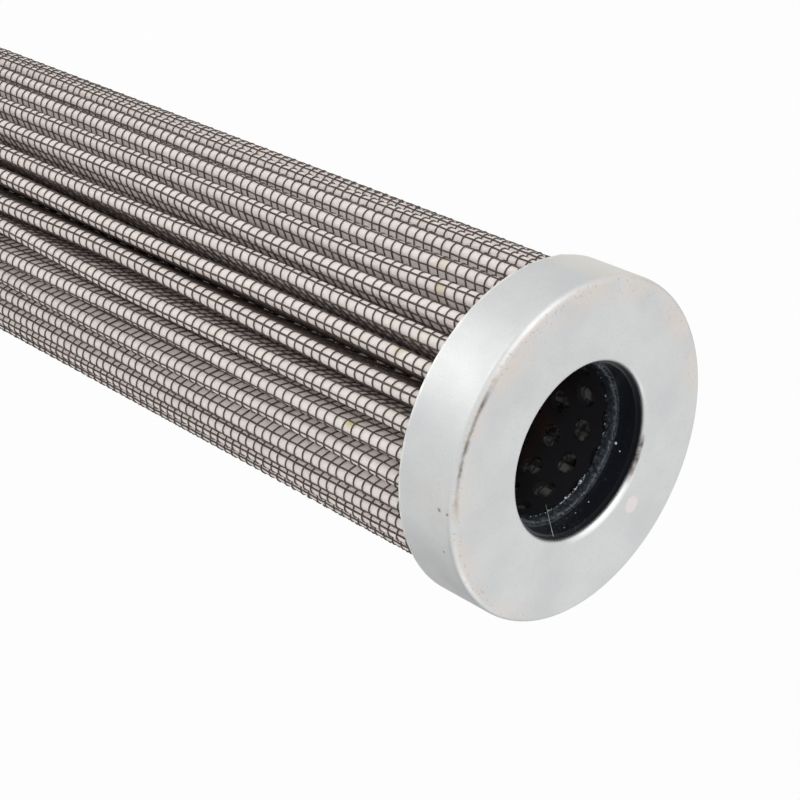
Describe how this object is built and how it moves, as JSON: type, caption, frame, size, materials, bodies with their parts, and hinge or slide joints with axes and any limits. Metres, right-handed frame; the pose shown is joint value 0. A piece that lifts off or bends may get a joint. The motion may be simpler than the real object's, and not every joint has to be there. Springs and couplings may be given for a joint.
{
  "type": "hydraulic filter",
  "caption": "Pleated hydraulic filter element: wire-backed glass fibre pack round a perforated core, between an open and a closed steel end cap.",
  "frame": {"origin": "centre of the closed end cap's flat face, on which the element stands", "axes": "+Z along the element's axis, towards its open end; +X through the middle of one pleat's crest; +Y completes the frame"},
  "size_m": [0.045, 0.045, 0.208],
  "materials": {
    "cap_steel": "bright zinc plating, satin, lightly scuffed",
    "core_black": "black epoxy paint, semi-gloss",
    "wire_dark": "dark brown epoxy coating on steel wire",
    "fleece": "off-white spunbonded fleece",
    "media": "white glass fibre mat",
    "bond": "dark grey epoxy compound, rough where it set free",
    "seam": "amber epoxy bead",
    "seal_rubber": "smooth black nitrile rubber"
  },
  "bodies": {
    "root": {"bottom_end_cap": "cap_steel", "bottom_bond": "bond", "core_tube": "core_black", "inner_mesh": "wire_dark", "inner_fleece": "fleece", "filter_media": "media", "outer_fleece": "fleece", "outer_mesh": "wire_dark", "side_seam": "seam", "top_bond": "bond", "seal_ring": "seal_rubber", "top_end_cap": "cap_steel"}
  },
  "joints": []
}
